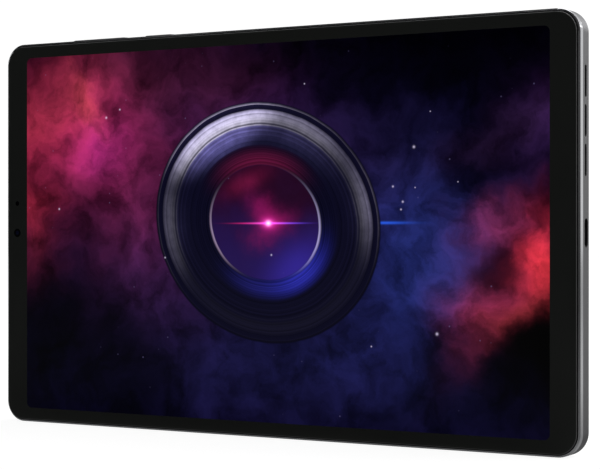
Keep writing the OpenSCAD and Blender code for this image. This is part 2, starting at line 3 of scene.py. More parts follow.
import bmesh
import bpy
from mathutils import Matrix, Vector


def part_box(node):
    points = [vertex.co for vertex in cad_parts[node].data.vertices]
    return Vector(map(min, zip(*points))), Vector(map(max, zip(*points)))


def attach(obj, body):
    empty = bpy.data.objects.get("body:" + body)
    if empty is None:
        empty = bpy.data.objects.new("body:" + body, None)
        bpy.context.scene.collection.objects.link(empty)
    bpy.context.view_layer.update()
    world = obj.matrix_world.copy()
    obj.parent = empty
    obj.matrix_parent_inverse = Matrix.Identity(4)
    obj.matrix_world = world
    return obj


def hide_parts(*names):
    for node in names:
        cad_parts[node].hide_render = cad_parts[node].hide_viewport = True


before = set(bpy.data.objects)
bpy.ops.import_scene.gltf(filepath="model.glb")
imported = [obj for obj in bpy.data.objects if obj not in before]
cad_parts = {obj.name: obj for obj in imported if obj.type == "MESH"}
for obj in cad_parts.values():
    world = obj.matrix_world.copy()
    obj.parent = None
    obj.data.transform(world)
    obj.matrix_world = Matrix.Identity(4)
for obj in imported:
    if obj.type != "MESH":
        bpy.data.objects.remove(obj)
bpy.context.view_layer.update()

bpy.ops.object.select_all(action="DESELECT")

# ---- camera ----
# A long lens, level with the middle of the tablet and off to its right. It is turned back to the
# left by 30 degrees, so that the screen and the right side both show.
MM = 0.001
body_low, body_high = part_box("midframe")
half_l = body_high.x
middle_z = ((body_low + body_high) / 2).z

bpy.ops.object.camera_add(
    location=(0.2825, -0.47005, middle_z),
    rotation=(math.radians(90), 0, math.radians(30.09)),
)
camera = bpy.context.object
camera.data.lens = 104.63
camera.data.sensor_width = 36
camera.data.shift_y = -0.00275
camera.data.clip_start = 0.01
camera.data.clip_end = 20
bpy.context.scene.camera = camera
bpy.context.scene.view_settings.view_transform = "Standard"


# ---- studio ----
# A white floor and white surroundings, dark only towards the front left, where a black flag keeps
# reflections off the glass. Soft boxes hang above, in front, to the left and behind to the right.
def paint(red, green, blue):
    """A colour given in the usual 0 to 255 steps, as the light it stands for."""
    steps = [c / 255 for c in (red, green, blue)]
    light = [s / 12.92 if s <= 0.04045 else ((s + 0.055) / 1.055) ** 2.4 for s in steps]
    return (*light, 1)


class Signal:
    """A number, a vector or a colour on its way through a material."""

    def __init__(self, finish, socket):
        self.finish = finish
        self.socket = socket

    def __add__(self, other):
        return self.finish.calc("ADD", self, other)

    __radd__ = __add__

    def __sub__(self, other):
        return self.finish.calc("SUBTRACT", self, other)

    def __rsub__(self, other):
        return self.finish.calc("SUBTRACT", other, self)

    def __mul__(self, other):
        return self.finish.calc("MULTIPLY", self, other)

    __rmul__ = __mul__

    def __truediv__(self, other):
        return self.finish.calc("DIVIDE", self, other)

    def __pow__(self, other):
        return self.finish.calc("POWER", self, other)

    def __gt__(self, other):
        return self.finish.calc("GREATER_THAN", self, other)

    def __lt__(self, other):
        return self.finish.calc("LESS_THAN", self, other)


class Finish:
    """A finish being mixed: its nodes, its shader and the place on the piece."""

    def __init__(self, name, tree=None):
        if tree is None:
            self.material = bpy.data.materials.new(name)
            self.material.use_nodes = True
            tree = self.material.node_tree
            self.shader = tree.nodes["Principled BSDF"]
        self.tree = tree
        coordinates = "Object" if tree.nodes.get("Principled BSDF") else "Generated"
        self.place = self.node("TexCoord", {}, {}, coordinates)

    def node(self, kind, settings, sockets, output=0):
        made = self.tree.nodes.new("ShaderNode" + kind)
        for name, value in settings.items():
            if name == "stops":
                for at, colour in value[2:]:
                    made.color_ramp.elements.new(at)
                for element, (at, colour) in zip(made.color_ramp.elements, sorted(value)):
                    element.position = at
                    element.color = colour
            else:
                setattr(made, name, value)
        for name, value in sockets.items():
            self.feed(made.inputs[name], value)
        return Signal(self, made.outputs[output])

    def feed(self, socket, value):
        if isinstance(value, Signal):
            self.tree.links.new(value.socket, socket)
        else:
            socket.default_value = value

    def set(self, **sockets):
        for name, value in sockets.items():
            self.feed(self.shader.inputs[name.replace("_", " ")], value)

    def calc(self, operation, *values):
        return self.node("Math", {"operation": operation}, dict(enumerate(values)))

    def vector(self, operation, *values, output=0):
        return self.node("VectorMath", {"operation": operation}, dict(enumerate(values)), output)

    def mix(self, first, second, factor, blend="MIX"):
        settings = {"data_type": "RGBA", "blend_type": blend}
        return self.node("Mix", settings, {0: factor, 6: first, 7: second}, 2)

    def axes(self, place):
        apart = self.node("SeparateXYZ", {}, {0: place})
        return [Signal(self, apart.socket.node.outputs[i]) for i in range(3)]

    def scaled(self, vector, amount):
        return self.node("VectorMath", {"operation": "SCALE"}, {0: vector, "Scale": amount})

    def noise(self, size_mm, detail=3, roughness=0.5, place=None):
        sockets = {"Vector": place or self.place, "Scale": 1 / (size_mm * MM), "Detail": detail,
                   "Roughness": roughness}
        return self.node("TexNoise", {}, sockets)

    def ease(self, value, low, high, to_low=0.0, to_high=1.0):
        sockets = {"Value": value, "From Min": low, "From Max": high, "To Min": to_low,
                   "To Max": to_high}
        return self.node("MapRange", {"interpolation_type": "SMOOTHSTEP"}, sockets)

    def bump(self, height, depth_mm, strength=1.0):
        sockets = {"Height": height, "Distance": depth_mm * MM, "Strength": strength}
        self.set(Normal=self.node("Bump", {}, sockets))


def softbox(name, size, power, place, aim):
    bpy.ops.object.light_add(type="AREA", location=place)
    box = bpy.context.object
    box.name = name
    box.data.shape = "RECTANGLE"
    box.data.size, box.data.size_y = size
    box.data.energy = power
    box.rotation_euler = (Vector(aim) - Vector(place)).to_track_quat("-Z", "Y").to_euler()


softbox("overhead_softbox", (0.7, 0.8), 6.0, (0.15, 0.28, 0.95), (0.12, 0.15, 0))
softbox("front_softbox", (0.7, 0.4), 0.34, (-0.35, -0.45, 0.75), (0, 0, 0.08))
softbox("left_softbox", (0.5, 0.6), 1.3, (-1.0, -0.08, 0.2), (-0.1, 0, 0.08))
softbox("side_softbox", (0.5, 0.35), 2.2, (0.42, 0.35, 0.42), (0.1, 0, 0.1))

world = bpy.data.worlds.new("white_studio")
bpy.context.scene.world = world
world.use_nodes = True
sky = Finish("sky", world.node_tree)
FLAG_WAY = (-0.5, -0.865, 0.0)
FALL_OFF = 2.8
facing = sky.vector("DOT_PRODUCT", sky.place, FLAG_WAY, output="Value")
room = ((1 - facing) / 2) ** FALL_OFF * 0.95 + 0.006
backdrop = 1.05
seen = sky.node("LightPath", {}, {}, "Is Camera Ray")
strength = room * (1 - seen) + seen * backdrop
sky.feed(world.node_tree.nodes["Background"].inputs["Color"], (1, 1, 1, 1))
sky.feed(world.node_tree.nodes["Background"].inputs["Strength"], strength)

# The paper lies white before the camera, while the tablet sees it lit behind and close in front.
bpy.ops.mesh.primitive_plane_add(size=8)
floor = bpy.context.object
floor.name = "floor"
paper = Finish("floor_paper")
grain = paper.noise(3, 5, 0.6)
sweep = paper.ease(paper.vector("LENGTH", paper.place, output="Value"), 0.1, 0.7, 0.93, 1.06)
away = paper.axes(paper.place)[1]
behind = paper.ease(away, 0.0, 0.25, 0.0, 0.3) + paper.ease(away, -0.014, -0.003, 0.0, 0.15)
shown = paper.node("LightPath", {}, {}, "Is Camera Ray")
glow = paper.mix((0, 0, 0, 1), (1, 1, 1, 1), sweep * shown + behind * (1 - shown))
paper.set(Base_Color=paper.mix(paint(112, 112, 112), paint(118, 118, 118), grain), Roughness=0.9,
          Specular_IOR_Level=0.0, Emission_Color=glow, Emission_Strength=1.0)
floor.data.materials.append(paper.material)


# ---- front glass ----
# One sheet of toughened glass with a softly rounded edge, printed black from behind around the
# screen. The screen is bonded to it, so its picture shows at the glass itself.
def deselected():
    """Leaves any edit and clears the selection."""
    if bpy.context.mode != "OBJECT":
        bpy.ops.object.mode_set(mode="OBJECT")
    bpy.ops.object.select_all(action="DESELECT")


def pick(kind, test):
    """Selects, on the piece being edited, only the faces, edges or corners that pass a test."""
    bpy.ops.mesh.select_mode(type=kind)
    bpy.ops.mesh.select_all(action="DESELECT")
    shape = bmesh.from_edit_mesh(bpy.context.object.data)
    for part in {"FACE": shape.faces, "EDGE": shape.edges, "VERT": shape.verts}[kind]:
        part.select_set(test(part))
    shape.select_flush_mode()
    bmesh.update_edit_mesh(bpy.context.object.data)


def block(name, low, high):
    """A new block between two corners, left in edit mode."""
    deselected()
    bpy.ops.mesh.primitive_cube_add(size=1)
    piece = bpy.context.object
    piece.name = name
    low, high = Vector(low), Vector(high)
    bpy.ops.object.mode_set(mode="EDIT")
    bpy.ops.transform.resize(value=high - low)
    bpy.ops.transform.translate(value=(low + high) / 2)
    return piece


def rounded_block(name, low, high, axis, radius, segments=24):
    """A block whose four edges along one axis are rounded, left in edit mode."""
    piece = block(name, low, high)
    pick("EDGE", lambda edge: abs((edge.verts[0].co - edge.verts[1].co).normalized()[axis]) > 0.9)
    bpy.ops.mesh.bevel(offset=radius, segments=segments, affect="EDGES")
    bpy.ops.mesh.select_all(action="SELECT")
    bpy.ops.mesh.remove_doubles(threshold=2e-6)
    return piece


def face_towards(axis, sign):
    """Picks the one big face that looks along an axis."""
    shape = bmesh.from_edit_mesh(bpy.context.object.data)
    best = max((f for f in shape.faces if f.normal[axis] * sign > 0.99),
               key=lambda f: f.calc_area())
    index = best.index
    pick("FACE", lambda face: face.index == index)


def terrace(steps):
    """Steps the picked face on, each step given as how far inwards and how far out, in mm."""
    for inwards, outwards in steps:
        bpy.ops.mesh.inset(thickness=inwards * MM, depth=outwards * MM, use_even_offset=True)


def finished(piece, finish, body, angle=35):
    """Closes the edit, shades the piece, gives it its finish and seats it on its body."""
    deselected()
    piece.select_set(True)
    bpy.context.view_layer.objects.active = piece
    bpy.ops.object.transform_apply(location=True, rotation=True, scale=True)
    bpy.ops.object.shade_smooth_by_angle(angle=math.radians(angle))
    piece.data.materials.clear()
    piece.data.materials.append(finish.material)
    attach(piece, body)
    deselected()


def round_over(radius):
    """The steps that carry a face's edge round a quarter circle, its radius in mm."""
    turns = [math.radians(turn) for turn in range(0, 91, 15)]
    return [(radius * (math.cos(a) - math.cos(b)), radius * (math.sin(b) - math.sin(a)))
            for a, b in zip(turns, turns[1:])]


glass_low, glass_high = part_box("cover_glass")
EDGE_ROUND = 0.3
CORNER = 7.0
GLASS_INSET = (glass_low.x - body_low.x) / MM
front_glass = rounded_block(
    "front_glass", (glass_low.x, glass_low.y + EDGE_ROUND * MM, glass_low.z), glass_high, 1,
    (CORNER - GLASS_INSET) * MM)
face_towards(1, -1)
terrace(round_over(EDGE_ROUND))

screen_low, screen_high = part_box("optical_adhesive")
SCREEN_CORNER = 1.8 * MM
straight_x = (screen_high.x - screen_low.x) / 2 - SCREEN_CORNER
straight_z = (screen_high.z - screen_low.z) / 2 - SCREEN_CORNER

glass = Finish("printed_glass")
centred = glass.vector("SUBTRACT", glass.place, (0, 0, middle_z))
corner_way = glass.vector(
    "SUBTRACT", glass.vector("ABSOLUTE", centred), (straight_x, 1, straight_z))
corner_gap = glass.vector("LENGTH", glass.vector("MAXIMUM", corner_way, (0, 0, 0)), output="Value")
lit = (corner_gap < SCREEN_CORNER) * (glass.axes(glass.place)[1] < glass_high.y - 0.2 * MM)

# The wallpaper is a night sky: clouds of coloured gas, a ringed disc of dust with a star flare in
# its middle, and a few stars. Each cloud is a soft spot with its own place, size and tilt.
flat = glass.vector("MULTIPLY", glass.scaled(centred, 1 / MM), (1, 0, 1))


def gas(place, size, detail, roughness, output="Fac"):
    """Cloudy noise over the picture, the size of its clouds given in mm."""
    sockets = {"Vector": place, "Scale": 1 / size, "Detail": detail, "Roughness": roughness}
    return glass.node("TexNoise", {}, sockets, output)


def waves(size, detail, roughness, reach):
    """Moves the picture's places about, so that the spots drawn on them turn into clouds."""
    ripple = gas(flat, size, detail, roughness, "Color")
    centre = glass.vector("SUBTRACT", ripple, (0.5, 0.5, 0.5))
    return glass.vector("MULTIPLY", centre, (reach, 0, reach))


drift = glass.vector("ADD", flat, waves(34, 3, 0.55, 26))
drift = glass.vector("ADD", drift, waves(9, 6, 0.68, 9))
wisps = gas(drift, 13, 8, 0.62)
billow = gas(drift, 40, 3, 0.5)


def spot(place, x, z, wide, high, tilt=0.0, crisp=False):
    """A soft round spot, full in its middle and fading out past its half width and height."""
    settings = {"vector_type": "TEXTURE"}
    sockets = {"Vector": place, "Location": (x, 0, z), "Rotation": (0, math.radians(-tilt), 0),
               "Scale": (wide, 1, high)}
    local = glass.node("Mapping", settings, sockets)
    squared = glass.vector("DOT_PRODUCT", local, local, output="Value")
    return glass.calc("EXPONENT", (squared * squared if crisp else squared) * -1)


def add_light(picture, mask, *colour):
    """Adds a colour, given in 0 to 255 steps, to the picture wherever the mask is."""
    return glass.mix(picture, paint(*colour), mask, "ADD")


CLOUDS = (
    # x, z, half width, half height, tilt, colour: from the left edge across to the right
    (-92, 34, 22, 22, 10, (150, 32, 52)),
    (-78, 44, 20, 10, 30, (120, 38, 42)),
    (-66, 36, 20, 17, -40, (160, 34, 84)),
    (-63, 29, 9, 9, 0, (132, 28, 108)),
    (-71, 44, 10, 4, -45, (150, 56, 44)),
    (-92, 8, 12, 9, -20, (126, 26, 36)),
    (-90, -8, 10, 9, 0, (80, 16, 26)),
    (-56, 12, 24, 20, 0, (80, 18, 46)),
    (-40, 50, 34, 16, 0, (72, 22, 40)),
    (-46, 20, 18, 18, 0, (78, 22, 50)),
    (-14, 26, 34, 22, 0, (52, 18, 62)),
    (-44, -12, 24, 22, 0, (44, 20, 58)),
    (34, 10, 36, 30, 0, (27, 24, 62)),
    (50, -8, 18, 24, 0, (14, 27, 82)),
    (60, -8, 14, 18, 0, (20, 33, 84)),
    (0, -46, 90, 18, 0, (16, 15, 50)),
    (34, -38, 36, 14, 0, (12, 17, 56)),
    (70, -16, 10, 10, 20, (66, 30, 66)),
    (80, -18, 14, 10, 40, (156, 38, 50)),
    (91, -6, 8, 11, -10, (226, 52, 76)),
    (93, -10, 7, 7, 0, (220, 50, 48)),
    (79, 3, 9, 6, 20, (132, 44, 84)),
    (84, -24, 12, 4, 38, (200, 64, 66)),
    (74, -27, 14, 5, 55, (120, 34, 62)),
    (92, 34, 12, 12, -30, (48, 22, 60)),
    (78, 28, 14, 5, 20, (50, 28, 62)),
)
picture = glass.mix(paint(11, 8, 30), paint(13, 9, 38), billow)
for x, z, wide, high, tilt, colour in CLOUDS:
    picture = add_light(picture, spot(drift, x, z, wide, high, tilt), *colour)

# The gas is torn into wisps, and goes dark towards the top right and the bottom left.
torn = glass.ease(wisps, 0.25, 0.75, 0.16, 0.98) * glass.ease(billow, 0.3, 0.7, 0.65, 1.3)
GAPS = (
    # x, z, half width, half height, tilt, how much of the light is lost
    (-80, -44, 56, 26, -10, 0.72),
    (60, 52, 62, 18, -4, 0.82),
    (100, -31, 42, 18, 20, 1.0),
    (76, -8, 9, 8, 0, 0.8),
    (74, 24, 12, 10, 20, 0.7),
    (-34, 56, 16, 10, 0, 0.4),
)
for x, z, wide, high, tilt, depth in GAPS:
    torn = torn * (1 - depth * spot(drift, x, z, wide, high, tilt, crisp=True))
picture = glass.scaled(picture, torn)

# The disc of dust: an unbroken, tilted set of rings around a clear middle, lit from the top left.
disc_place = glass.node("Mapping", {"vector_type": "TEXTURE"}, {
    "Vector": glass.vector("ADD", flat, waves(7, 2, 0.5, 0.35)), "Location": (-0.5, 0, 3.3),
    "Rotation": (0, math.radians(22), 0), "Scale": (42, 1, 37.5)})
radius = glass.vector("LENGTH", disc_place, output="Value")
rings = glass.node("ValToRGB", {"stops": [
    (0.475, paint(170, 160, 190)), (0.49, paint(40, 34, 60)), (0.50, paint(18, 12, 32)),
    (0.55, paint(44, 38, 74)), (0.56, paint(12, 9, 24)), (0.63, paint(20, 16, 40)),
    (0.64, paint(96, 92, 158)), (0.79, paint(122, 116, 186)), (0.80, paint(206, 200, 228)),
    (0.81, paint(10, 8, 20)), (0.825, paint(226, 220, 246)), (0.915, paint(198, 190, 230)),
    (0.93, paint(14, 12, 26)), (0.965, paint(22, 18, 40)), (0.97, paint(170, 162, 190)),
    (0.985, paint(24, 20, 40))]}, {0: radius})
disc = glass.ease(radius, 0.468, 0.478) * glass.ease(radius, 0.998, 0.982)
grooves = glass.node("TexNoise", {"noise_dimensions": "1D"}, {
    "W": radius * 34, "Scale": 1.0, "Detail": 4.0, "Roughness": 0.7})
grooved = glass.ease(grooves, 0.35, 0.62, 0.55, 1.0)
dust = gas(flat, 10 / 3, 7, 0.65)
sunny = spot(flat, -16, 37, 25, 11, 30, crisp=True) * 1.1
for x, z, wide, high, tilt, share in (
    (11, 37, 20, 9, -28, 0.3), (37, 12, 5, 15, 8, 0.22), (-37, 3, 5, 15, 8, 0.1)):
    sunny = sunny + spot(flat, x, z, wide, high, tilt) * share
sunny = sunny * glass.ease(dust, 0.3, 0.7, 0.75, 1.15) + 0.005
picture = glass.mix(picture, glass.scaled(rings, sunny * grooved), disc)
picture = add_light(picture, disc * grooved, 12, 11, 32)

# Light caught by the disc's inner rim on both sides, and the glow on the rings next to it.
rim = glass.ease(radius, 0.5, 0.478) * disc
inner_rings = glass.ease(radius, 0.66, 0.5) * disc * grooved
for where, x, z, wide, high, tilt, colour in (
    (rim, 21, -4, 7, 15, 12, (170, 160, 205)),
    (rim, -21, -2, 7, 13, 12, (150, 130, 160)),
    (inner_rings, 15, -17, 14, 8, 36, (50, 54, 196)),
    (inner_rings, -4, -20, 12, 6, -16, (30, 30, 110)),
    (inner_rings, -3, 22, 15, 6, 0, (96, 14, 46)),
):
    picture = add_light(picture, where * spot(flat, x, z, wide, high, tilt), *colour)

# The clear middle, dusky red above and blue below, with its star flare and the streaks through it.
FLARE_X, FLARE_Z = 1.0, 3.0
middle_sky = glass.ease(radius, 0.478, 0.466)
upper = glass.ease(glass.axes(drift)[2], -10, 14)
dusk = glass.mix(paint(36, 22, 78), paint(34, 7, 28), upper)
picture = glass.mix(picture, dusk, middle_sky * 0.85)
picture = add_light(picture, middle_sky * spot(flat, 11, -11, 12, 7, 36), 32, 27, 118)
picture = add_light(picture, middle_sky * spot(flat, -7, 16, 8, 3, 24) * wisps, 120, 18, 56)
picture = add_light(picture, middle_sky * spot(drift, 0.4, 4, 6.5, 5), 128, 12, 72)
for x, wide, high, colour in (
    (FLARE_X, 3.0, 2.2, (160, 24, 106)), (FLARE_X, 1.7, 1.1, (226, 80, 196)),
    (FLARE_X, 0.8, 0.7, (255, 236, 255)), (FLARE_X, 5.5, 0.32, (226, 80, 214)),
    (-6, 6, 0.2, (190, 26, 92)), (8, 6, 0.22, (96, 60, 220))):
    picture = add_light(picture, middle_sky * spot(flat, x, FLARE_Z, wide, high), *colour)
outside = glass.ease(radius, 0.985, 1.0)
picture = add_light(picture, outside * spot(flat, 41, FLARE_Z, 8, 0.4), 28, 84, 214)

# A few bright stars, and a faint field of small ones.
STARS = (
    # x, z, half width
    (-61.5, 38, 0.336), (-56, 40.5, 0.256), (-81, 8, 0.28), (-38, -8, 0.24), (51.6, 25.6, 0.352),
    (44.6, 13.9, 0.272), (47.9, 9.3, 0.288), (47.3, 7, 0.24), (52, 13.5, 0.176),
    (59.2, -29.9, 0.384), (37.3, -34.3, 0.208), (2.1, -6.9, 0.256), (57, 36, 0.16),
    (14, 46, 0.192), (66, 15, 0.16),
)
for x, z, size in STARS:
    picture = add_light(picture, spot(flat, x, z, size, size), 188, 178, 206)
cells = glass.node("TexVoronoi", {}, {"Vector": flat, "Scale": 0.3})
star_pick = glass.axes(Signal(glass, cells.socket.node.outputs["Color"]))[0]
small_stars = glass.ease(cells, 0.11, 0.03) * glass.ease(star_pick, 0.75, 1.0) * (1 - disc)
picture = add_light(picture, small_stars * 0.16, 150, 140, 200)

# Behind the black print sit the front camera and, above it, the light sensor.
EYE_IN = 1.95                 # from the front camera's outer side to the middle of its lens
SENSOR_ABOVE = 10
eye_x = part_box("front_camera")[0].x / MM + EYE_IN
dot = glass.vector("DISTANCE", flat, (eye_x, 0, 0), output="Value")
sensor = glass.vector("DISTANCE", flat, (eye_x, 0, SENSOR_ABOVE), output="Value")
grime = glass.noise(18, 5, 0.6)
speck = glass.noise(0.12, 2, 0.5)
ink = glass.mix(paint(61, 63, 61), paint(67, 69, 67), grime)
ink = glass.mix(ink, paint(8, 8, 12), glass.ease(dot, 1.55, 1.3))
ink = glass.mix(ink, paint(30, 34, 66), glass.ease(dot, 0.8, 0.5))
ink = glass.mix(ink, paint(16, 10, 18), glass.ease(sensor, 0.9, 0.7))

# A pale line painted on the glass's rounded edge is a painted highlight, for the light that edge
# catches, and its side below that is black.
depth_in = glass.axes(glass.place)[1]
painted_edge_highlight = glass.ease(depth_in, glass_low.y + 0.01 * MM, glass_low.y + 0.08 * MM)
painted_edge_highlight = painted_edge_highlight * glass.ease(depth_in, glass_low.y + 0.36 * MM, glass_low.y + 0.28 * MM)
# Painted highlight: the rounded edge of the glass is coloured pale grey.
ink = glass.mix(ink, paint(112, 113, 114), painted_edge_highlight)
ink = glass.mix(ink, paint(6, 6, 6), depth_in > glass_low.y + 0.34 * MM)
glass.set(Base_Color=glass.mix(ink, paint(1, 1, 2), lit),
          Roughness=glass.ease(grime, 0.3, 0.7, 0.035, 0.075) + speck * 0.01,
          Emission_Color=glass.mix((0, 0, 0, 1), picture, lit), Emission_Strength=1.0,
          Specular_IOR_Level=0.12, IOR=1.5)
glass.bump(grime, 0.002, 0.2)
finished(front_glass, glass, "housing")
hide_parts("cover_glass")


# ---- body frame ----
# The side walls and the plate behind the screen, milled from one billet of aluminium, then
# blasted and anodised dark grey. The bevel beside the glass is cut after that and polished.
def strip(name, low, high, axis):
    """A block whose ends are full half rounds, as a slot cutter leaves them."""
    size = Vector(high) - Vector(low)
    across = min(size[i] for i in range(3) if i != axis)
    return rounded_block(name, low, high, axis, across / 2 * 0.99999, 14)


def rod(name, place, radius, depth, axis, sides=40):
    """A round bar along an axis, its middle at a place, left in edit mode."""
    deselected()
    turn = {0: (0, math.pi / 2, 0), 1: (math.pi / 2, 0, 0), 2: (0, 0, 0)}[axis]
    bpy.ops.mesh.primitive_cylinder_add(
        vertices=sides, radius=radius, depth=depth, location=place, rotation=turn)
    piece = bpy.context.object
    piece.name = name
    bpy.ops.object.transform_apply(location=True, rotation=True, scale=True)
    bpy.ops.object.mode_set(mode="EDIT")
    return piece


def combine(piece, others, operation):
    """Cuts other shapes out of a piece, or adds them to it, one after the other."""
    for other in others:
        deselected()
        bpy.context.view_layer.objects.active = piece
        tool = piece.modifiers.new("combine", "BOOLEAN")
        tool.operation = operation
        tool.solver = "EXACT"
        tool.object = other
        bpy.ops.object.modifier_apply(modifier=tool.name)
        bpy.data.objects.remove(other)


def cut(piece, *cutters):
    combine(piece, cutters, "DIFFERENCE")


def add(piece, *parts):
    combine(piece, parts, "UNION")


def ease_edges(piece, width_mm, segments=2, angle=40, weighted=True):
    """Breaks the sharp edges of a piece, and levels the shading of its flat faces."""
    deselected()
    bpy.context.view_layer.objects.active = piece
    edges = piece.modifiers.new("edges", "BEVEL")
    edges.width = width_mm * MM
    edges.segments = segments
    edges.limit_method = "ANGLE"
    edges.angle_limit = math.radians(angle)
    bpy.ops.object.modifier_apply(modifier=edges.name)
    if weighted:
        for face in piece.data.polygons:
            face.use_smooth = True
        shade = piece.modifiers.new("shade", "WEIGHTED_NORMAL")
        bpy.ops.object.modifier_apply(modifier=shade.name)


BACK_ROUND = 0.7
BEVEL_Y = -1.15
BEVEL_INSET, BEVEL_DEPTH = 0.02, 1.93
LIP_WIDTH, LIP_RISE = 0.55, 0.42
STEP = 0.001                  # a wall this far from straight, so that its faces stay apart
PAST = 0.5                    # how far a cutter runs past the face it cuts
body_frame = rounded_block(
    "body_frame", (body_low.x, BEVEL_Y * MM, 0),
    (body_high.x, body_high.y - BACK_ROUND * MM, body_high.z), 1, CORNER * MM)
face_towards(1, 1)
terrace(round_over(BACK_ROUND))
terrace([(0.95, 0), (STEP, -0.9), (0.95, 0), (STEP, -3.9)])
face_towards(1, -1)
terrace([(BEVEL_INSET, BEVEL_DEPTH), (LIP_WIDTH, LIP_RISE), (STEP, -0.4), (2.03, 0),
         (STEP, -1.75)])

# Cut through the walls: sound slots, port, key slots, the tray's seat and slot, its eject bore,
# the microphones' holes, and two gaps in the plate for the front camera and the screen's flex.
WALL = 2.6
SLOT_Y = 0.9
PORT_Y = 1.3
KEY_Y = 1.0
cutters = []
slot_l, slot_w, slot_pitch, slot_first = (size * MM for size in (9.3, 1.4, 11.3, 20.75))
for i in range(3):
    rise = slot_first + i * slot_pitch
    for side in (-1, 1):
        edge = sorted((side * (half_l - (WALL + PAST) * MM), side * (half_l + PAST * MM)))
        z = middle_z + side * rise
        cutters.append(strip(
            "sound_slot", (edge[0], SLOT_Y * MM - slot_w / 2, z - slot_l / 2),
            (edge[1], SLOT_Y * MM + slot_w / 2, z + slot_l / 2), 0))
PORT_L, PORT_W = 8.34, 2.56   # the opening, with a wider room behind it for the port's shell
SHELL_T, PORT_DEEP = 0.35, 0.8
for shell, x0, x1 in ((SHELL_T, half_l - (WALL + PAST) * MM, half_l - PORT_DEEP * MM),
                      (0, half_l - WALL * MM, half_l + PAST * MM)):
    wide, high = PORT_L + 2 * shell, PORT_W + 2 * shell
    cutters.append(strip(
        "port", (x0, (PORT_Y - high / 2) * MM, middle_z - wide / 2 * MM),
        (x1, (PORT_Y + high / 2) * MM, middle_z + wide / 2 * MM), 0))
KEY_FLANGE = 1.2
for key in ("volume_key", "power_key"):
    key_low, key_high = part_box(key)
    key_x = (key_low.x + key_high.x) / 2
    reach = (key_high.x - key_low.x) / 2 - (KEY_FLANGE - 0.2) * MM
    cutters.append(strip(
        "key_slot", (key_x - reach, (KEY_Y - 1.25) * MM, body_high.z - (WALL + PAST) * MM),
        (key_x + reach, (KEY_Y + 1.25) * MM, body_high.z + PAST * MM), 2))
HEAD_Z, HEAD_L, HEAD_W, HEAD_T = 88, 15.6, 2.4, 1.3
TRAY_Z, PINHOLE_Z = 89.6, 81.7
seat_w, seat_l = HEAD_W / 2 + 0.1, HEAD_L / 2 + 0.1
cutters.append(strip(
    "head_seat", (-half_l - PAST * MM, (KEY_Y - seat_w) * MM, (HEAD_Z - seat_l) * MM),
    (-half_l + (HEAD_T + 0.1) * MM, (KEY_Y + seat_w) * MM, (HEAD_Z + seat_l) * MM), 0))
for name, low, high in (
    ("tray_slot", (-half_l / MM, 0.25, TRAY_Z - 6.2), (-half_l / MM + 3.1, 1.75, TRAY_Z + 6.2)),
    ("camera_gap", (-101, -1.85, 61.4), (-96.85, -0.35, 66.8)),
    ("flex_gap", (98.2, -1.85, 29), (98.9, -0.35, 55)),
):
    cutters.append(block(name, [v * MM for v in low], [v * MM for v in high]))
cutters.append(rod("rod_bore", (-half_l + 2 * MM, KEY_Y * MM, PINHOLE_Z * MM), 0.8 * MM,
                   3 * MM, 0))
for x, z in ((-22, body_high.z), (40, 0)):
    cutters.append(rod("sound_hole", (x * MM, KEY_Y * MM, z), 0.4 * MM, 7 * MM, 2, 24))
cut(body_frame, *cutters)
ease_edges(body_frame, 0.07)


def blasted(name, polish_before=None, highlight_lift=0):
    """Dark grey anodised aluminium with a fine blasted grain, and a polished cut where asked, made
    lighter all over where asked as a painted highlight.
    """
    metal = Finish(name)
    shot = metal.noise(0.09, 4, 0.65)
    cloud = metal.noise(14, 4, 0.55)
    rub = metal.noise(3.5, 5, 0.6)
    # A lift above 0 paints the whole finish lighter, as a painted highlight.
    dark, pale, rubbed = (paint(t + highlight_lift, t + highlight_lift, t + highlight_lift + 2) for t in (88, 98, 110))
    colour = metal.mix(dark, pale, cloud)
    colour = metal.mix(colour, rubbed, metal.ease(rub, 0.62, 0.8) * 0.4)
    rough = 0.36 + shot * 0.1 + metal.ease(cloud, 0.3, 0.7) * 0.04
    depth = shot
    if polish_before is not None:
        polished = metal.axes(metal.place)[1] < polish_before * MM
        stretch = metal.node("Mapping", {}, {"Vector": metal.place, "Scale": (1, 30, 1)})
        lines = metal.noise(1.6, 3, 0.6, stretch)
        colour = metal.mix(colour, metal.mix(paint(176, 177, 180), paint(192, 193, 196), lines),
                           polished)
        rough = rough * (1 - polished) + polished * (0.1 + lines * 0.06)
        depth = shot * (1 - polished)
    metal.set(Base_Color=colour, Metallic=1.0, Roughness=rough)
    metal.bump(depth, 0.006, 0.5)
    return metal


finished(body_frame, blasted("anodised_frame", BEVEL_Y - 0.05), "housing", 180)
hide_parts("midframe")


# ---- back panel ----
# A plate of the same anodised aluminium, 0.8 mm thick, glued into a seat in the back of the
# frame, with an opening for the camera island.
panel_low, panel_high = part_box("rear_cover")
back_panel = rounded_block("back_panel", panel_low, panel_high, 1, (CORNER - 1.7) * MM)
face_towards(1, 1)
terrace([(0.08, 0), (0.4, 0)])
island_low, island_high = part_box("camera_island")
gap = 0.05 * MM
opening = strip("opening", (island_low.x - gap, panel_low.y - 0.001, island_low.z - gap),
                (island_high.x + gap, panel_high.y + 0.001, island_high.z + gap), 1)
cut(back_panel, opening)
ease_edges(back_panel, 0.1)
finished(back_panel, blasted("anodised_panel"), "housing", 180)
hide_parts("rear_cover")


